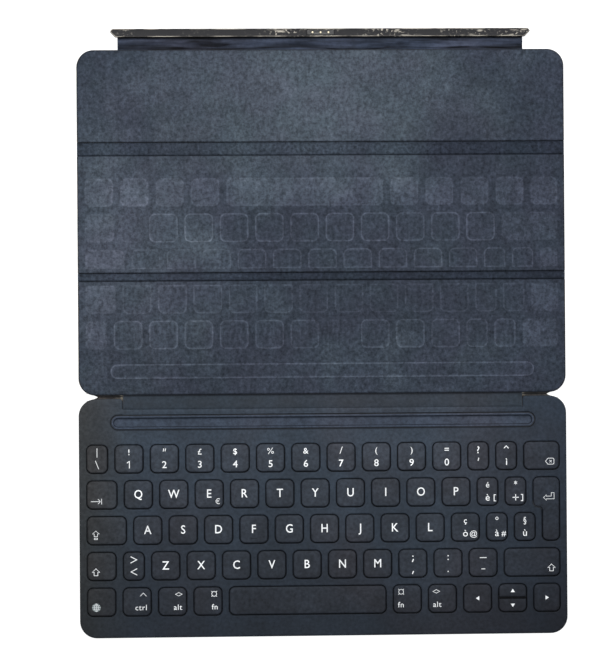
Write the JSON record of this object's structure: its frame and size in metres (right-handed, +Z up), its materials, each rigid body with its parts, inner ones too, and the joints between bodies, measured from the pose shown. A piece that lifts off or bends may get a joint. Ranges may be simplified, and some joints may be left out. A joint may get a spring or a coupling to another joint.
{
  "type": "tablet keyboard case",
  "caption": "Folding keyboard case for a tablet: fabric-covered keyboard panel, hinged three-panel cover that folds into a stand, and a magnetic connector bar on a flexible strip.",
  "frame": {"origin": "middle of the footprint, on the surface that the open case lies on", "axes": "+X along the key rows to the typist's right, +Y from the typist towards the connector bar, +Z up out of the keys"},
  "size_m": [0.2518, 0.3134, 0.004],
  "materials": {
    "woven_skin": "matte",
    "deck_fabric": "matte",
    "key_fabric": "matte",
    "microfibre": "matte",
    "fold_fabric": "matte",
    "rail_fabric": "matte",
    "stiffener": "matte",
    "frame_plastic": "matte",
    "base_metal": "satin",
    "conductive_textile": "matte",
    "dome_rubber": "matte",
    "magnet": "satin",
    "circuit_board": "satin",
    "chip_plastic": "satin",
    "bar_plastic": "satin",
    "carrier_plastic": "satin",
    "contact_metal": "polished"
  },
  "bodies": {
    "keyboard": {"keyboard_back_skin": "woven_skin", "keyboard_base_plate": "base_metal", "key_circuit_sheet": "conductive_textile", "dome_switches": "dome_rubber", "chassis_frame": "frame_plastic", "keyboard_top_skin": "deck_fabric", "tablet_rail": "rail_fabric", "rail_magnets": "magnet", "controller_board": "circuit_board", "controller_chips": "chip_plastic", "keyboard_fold_band": "fold_fabric"},
    "lower_panel": {"lower_panel_skin": "woven_skin", "lower_panel_board": "stiffener", "lower_panel_lining": "microfibre", "lower_panel_ribbon": "conductive_textile", "lower_fold_band": "fold_fabric"},
    "middle_panel": {"middle_panel_skin": "woven_skin", "middle_panel_board": "stiffener", "middle_panel_lining": "microfibre", "middle_panel_ribbon": "conductive_textile", "upper_fold_band": "fold_fabric"},
    "upper_panel": {"upper_panel_skin": "woven_skin", "upper_panel_board": "stiffener", "upper_panel_lining": "microfibre", "upper_panel_ribbon": "conductive_textile", "upper_panel_magnets": "magnet", "connector_strip": "fold_fabric"},
    "connector_bar": {"connector_bar_shell": "bar_plastic", "connector_bar_back": "bar_plastic", "connector_bar_magnets": "magnet", "contact_carrier": "carrier_plastic", "contact_pins": "contact_metal"},
    "key_delete": {"key_delete": "key_fabric"},
    "key_tab": {"key_tab": "key_fabric"},
    "key_return": {"key_return": "key_fabric"},
    "key_caps": {"key_caps": "key_fabric"},
    "key_shift_left": {"key_shift_left": "key_fabric"},
    "key_shift_right": {"key_shift_right": "key_fabric"},
    "key_language": {"key_language": "key_fabric"},
    "key_control": {"key_control": "key_fabric"},
    "key_alt_left": {"key_alt_left": "key_fabric"},
    "key_command_left": {"key_command_left": "key_fabric"},
    "key_space": {"key_space": "key_fabric"},
    "key_command_right": {"key_command_right": "key_fabric"},
    "key_alt_right": {"key_alt_right": "key_fabric"},
    "key_arrow_left": {"key_arrow_left": "key_fabric"},
    "key_arrow_up": {"key_arrow_up": "key_fabric"},
    "key_arrow_down": {"key_arrow_down": "key_fabric"},
    "key_arrow_right": {"key_arrow_right": "key_fabric"},
    "key_column_1": {"key_column_1": "key_fabric"},
    "key_column_2": {"key_column_2": "key_fabric"},
    "key_column_3": {"key_column_3": "key_fabric"},
    "key_column_4": {"key_column_4": "key_fabric"},
    "key_column_5": {"key_column_5": "key_fabric"},
    "key_column_6": {"key_column_6": "key_fabric"},
    "key_column_7": {"key_column_7": "key_fabric"},
    "key_column_8": {"key_column_8": "key_fabric"},
    "key_column_9": {"key_column_9": "key_fabric"},
    "key_column_10": {"key_column_10": "key_fabric"},
    "key_column_11": {"key_column_11": "key_fabric"}
  },
  "joints": [
    {"name": "cover_fold", "type": "hinge", "parent": "keyboard", "child": "lower_panel", "pos_m": [0, -0.0328, 0.00325], "axis": [1, 0, 0], "range_deg": [0, 178], "deforming": ["keyboard_fold_band"]},
    {"name": "lower_fold", "type": "hinge", "parent": "lower_panel", "child": "middle_panel", "pos_m": [0, 0.02885, 0.0015], "axis": [-1, 0, 0], "range_deg": [-126.5, 0], "deforming": ["lower_fold_band"]},
    {"name": "upper_fold", "type": "hinge", "parent": "middle_panel", "child": "upper_panel", "pos_m": [0, 0.0948, 0.0015], "axis": [-1, 0, 0], "range_deg": [-107.5, 0], "deforming": ["upper_fold_band"]},
    {"name": "connector_fold", "type": "hinge", "parent": "upper_panel", "child": "connector_bar", "pos_m": [0, 0.14915, 0.0004], "axis": [1, 0, 0], "range_deg": [0, 90], "deforming": ["connector_strip"]},
    {"name": "press_delete", "type": "slide", "parent": "keyboard", "child": "key_delete", "axis": [0, 0, -1], "range_m": [0, 0.001], "stiffness_N_per_m": 400, "deforming": ["dome_switches"]},
    {"name": "press_tab", "type": "slide", "parent": "keyboard", "child": "key_tab", "axis": [0, 0, -1], "range_m": [0, 0.001], "stiffness_N_per_m": 400, "deforming": ["dome_switches"]},
    {"name": "press_return", "type": "slide", "parent": "keyboard", "child": "key_return", "axis": [0, 0, -1], "range_m": [0, 0.001], "stiffness_N_per_m": 400, "deforming": ["dome_switches"]},
    {"name": "press_caps", "type": "slide", "parent": "keyboard", "child": "key_caps", "axis": [0, 0, -1], "range_m": [0, 0.001], "stiffness_N_per_m": 400, "deforming": ["dome_switches"]},
    {"name": "press_shift_left", "type": "slide", "parent": "keyboard", "child": "key_shift_left", "axis": [0, 0, -1], "range_m": [0, 0.001], "stiffness_N_per_m": 400, "deforming": ["dome_switches"]},
    {"name": "press_shift_right", "type": "slide", "parent": "keyboard", "child": "key_shift_right", "axis": [0, 0, -1], "range_m": [0, 0.001], "stiffness_N_per_m": 400, "deforming": ["dome_switches"]},
    {"name": "press_language", "type": "slide", "parent": "keyboard", "child": "key_language", "axis": [0, 0, -1], "range_m": [0, 0.001], "stiffness_N_per_m": 400, "deforming": ["dome_switches"]},
    {"name": "press_control", "type": "slide", "parent": "keyboard", "child": "key_control", "axis": [0, 0, -1], "range_m": [0, 0.001], "stiffness_N_per_m": 400, "deforming": ["dome_switches"]},
    {"name": "press_alt_left", "type": "slide", "parent": "keyboard", "child": "key_alt_left", "axis": [0, 0, -1], "range_m": [0, 0.001], "stiffness_N_per_m": 400, "deforming": ["dome_switches"]},
    {"name": "press_command_left", "type": "slide", "parent": "keyboard", "child": "key_command_left", "axis": [0, 0, -1], "range_m": [0, 0.001], "stiffness_N_per_m": 400, "deforming": ["dome_switches"]},
    {"name": "press_space", "type": "slide", "parent": "keyboard", "child": "key_space", "axis": [0, 0, -1], "range_m": [0, 0.001], "stiffness_N_per_m": 400, "deforming": ["dome_switches"]},
    {"name": "press_command_right", "type": "slide", "parent": "keyboard", "child": "key_command_right", "axis": [0, 0, -1], "range_m": [0, 0.001], "stiffness_N_per_m": 400, "deforming": ["dome_switches"]},
    {"name": "press_alt_right", "type": "slide", "parent": "keyboard", "child": "key_alt_right", "axis": [0, 0, -1], "range_m": [0, 0.001], "stiffness_N_per_m": 400, "deforming": ["dome_switches"]},
    {"name": "press_arrow_left", "type": "slide", "parent": "keyboard", "child": "key_arrow_left", "axis": [0, 0, -1], "range_m": [0, 0.001], "stiffness_N_per_m": 400, "deforming": ["dome_switches"]},
    {"name": "press_arrow_up", "type": "slide", "parent": "keyboard", "child": "key_arrow_up", "axis": [0, 0, -1], "range_m": [0, 0.001], "stiffness_N_per_m": 400, "deforming": ["dome_switches"]},
    {"name": "press_arrow_down", "type": "slide", "parent": "keyboard", "child": "key_arrow_down", "axis": [0, 0, -1], "range_m": [0, 0.001], "stiffness_N_per_m": 400, "deforming": ["dome_switches"]},
    {"name": "press_arrow_right", "type": "slide", "parent": "keyboard", "child": "key_arrow_right", "axis": [0, 0, -1], "range_m": [0, 0.001], "stiffness_N_per_m": 400, "deforming": ["dome_switches"]},
    {"name": "press_column_1", "type": "slide", "parent": "keyboard", "child": "key_column_1", "axis": [0, 0, -1], "range_m": [0, 0.001], "stiffness_N_per_m": 400, "deforming": ["dome_switches"]},
    {"name": "press_column_2", "type": "slide", "parent": "keyboard", "child": "key_column_2", "axis": [0, 0, -1], "range_m": [0, 0.001], "stiffness_N_per_m": 400, "deforming": ["dome_switches"]},
    {"name": "press_column_3", "type": "slide", "parent": "keyboard", "child": "key_column_3", "axis": [0, 0, -1], "range_m": [0, 0.001], "stiffness_N_per_m": 400, "deforming": ["dome_switches"]},
    {"name": "press_column_4", "type": "slide", "parent": "keyboard", "child": "key_column_4", "axis": [0, 0, -1], "range_m": [0, 0.001], "stiffness_N_per_m": 400, "deforming": ["dome_switches"]},
    {"name": "press_column_5", "type": "slide", "parent": "keyboard", "child": "key_column_5", "axis": [0, 0, -1], "range_m": [0, 0.001], "stiffness_N_per_m": 400, "deforming": ["dome_switches"]},
    {"name": "press_column_6", "type": "slide", "parent": "keyboard", "child": "key_column_6", "axis": [0, 0, -1], "range_m": [0, 0.001], "stiffness_N_per_m": 400, "deforming": ["dome_switches"]},
    {"name": "press_column_7", "type": "slide", "parent": "keyboard", "child": "key_column_7", "axis": [0, 0, -1], "range_m": [0, 0.001], "stiffness_N_per_m": 400, "deforming": ["dome_switches"]},
    {"name": "press_column_8", "type": "slide", "parent": "keyboard", "child": "key_column_8", "axis": [0, 0, -1], "range_m": [0, 0.001], "stiffness_N_per_m": 400, "deforming": ["dome_switches"]},
    {"name": "press_column_9", "type": "slide", "parent": "keyboard", "child": "key_column_9", "axis": [0, 0, -1], "range_m": [0, 0.001], "stiffness_N_per_m": 400, "deforming": ["dome_switches"]},
    {"name": "press_column_10", "type": "slide", "parent": "keyboard", "child": "key_column_10", "axis": [0, 0, -1], "range_m": [0, 0.001], "stiffness_N_per_m": 400, "deforming": ["dome_switches"]},
    {"name": "press_column_11", "type": "slide", "parent": "keyboard", "child": "key_column_11", "axis": [0, 0, -1], "range_m": [0, 0.001], "stiffness_N_per_m": 400, "deforming": ["dome_switches"]}
  ]
}
